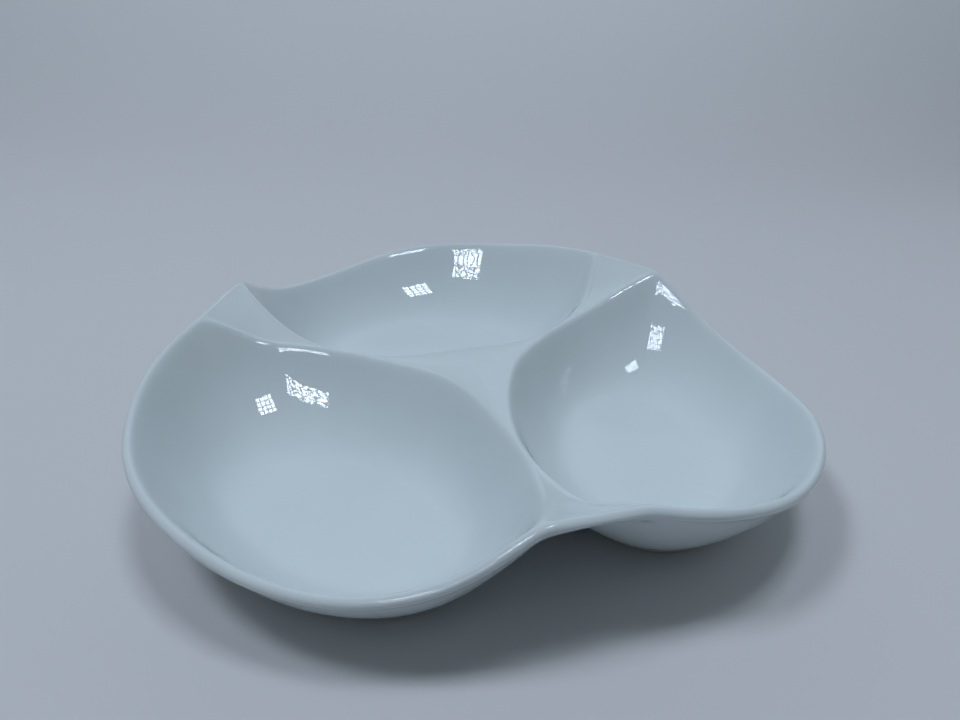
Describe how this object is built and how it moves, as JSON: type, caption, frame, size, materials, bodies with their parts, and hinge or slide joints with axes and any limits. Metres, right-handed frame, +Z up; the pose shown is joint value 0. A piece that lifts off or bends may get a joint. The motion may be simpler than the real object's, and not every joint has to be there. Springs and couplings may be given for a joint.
{
  "type": "divided serving bowl",
  "caption": "White glazed serving dish of lens-shaped bowls joined by webs, with a swooping rounded lip and oval foot rings.",
  "frame": {"origin": "on the surface the dish stands on, under the middle of its bounding box", "axes": "+Z up, +Y from the origin towards the middle of the rear bowl, +X to the right as seen from the front"},
  "size_m": [0.2812, 0.2728, 0.0601],
  "materials": {
    "glaze": "gloss",
    "bare_body": "matte"
  },
  "bodies": {
    "root": {"front_left_bowl": "glaze", "right_bowl": "glaze", "rear_bowl": "glaze", "centre_web": "glaze", "left_web": "glaze", "front_web": "glaze", "rear_right_web": "glaze", "front_left_foot_ring": "bare_body", "right_foot_ring": "bare_body", "rear_foot_ring": "bare_body"}
  },
  "joints": []
}
